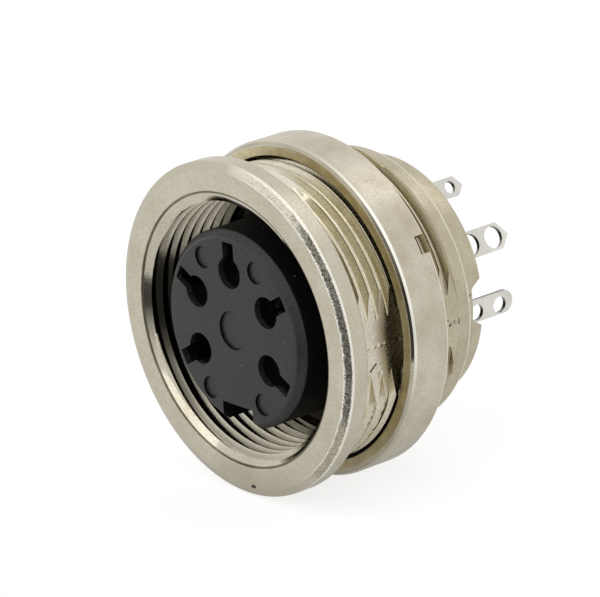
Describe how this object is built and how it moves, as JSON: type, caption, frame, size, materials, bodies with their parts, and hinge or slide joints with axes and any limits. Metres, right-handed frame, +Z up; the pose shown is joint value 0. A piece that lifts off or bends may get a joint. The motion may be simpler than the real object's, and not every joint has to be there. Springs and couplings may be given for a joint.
{
  "type": "connector receptacle",
  "caption": "Round panel receptacle with a keyed socket insert, a threaded flanged shell with flats, a slotted ring nut and flat solder tags.",
  "frame": {"origin": "on the mating axis, in the plane where the flange's rear face rests on the panel", "axes": "+Y rearwards along the mating axis to the solder tags, -Y out of the mouth, +Z up, opposite the keyway"},
  "size_m": [0.0202, 0.0185, 0.0202],
  "materials": {
    "shell": "nickel plated zinc, satin, warm silver",
    "nut": "nickel plated, satin with a polished front edge",
    "insert": "black moulded, satin",
    "carrier": "black moulded, matt",
    "ring": "spring steel wire",
    "contacts": "tin plated, bright"
  },
  "bodies": {
    "receptacle": {"shell": "shell", "socket_insert": "insert", "contact_carrier": "carrier", "retaining_ring": "ring", "contact_1": "contacts", "contact_2": "contacts", "contact_3": "contacts", "contact_4": "contacts", "contact_5": "contacts"},
    "nut": {"ring_nut": "nut"}
  },
  "joints": [
    {"name": "nut_travel", "type": "slide", "parent": "receptacle", "child": "nut", "axis": [0, 1, 0], "range_m": [-0.0033, 0.0038]}
  ]
}
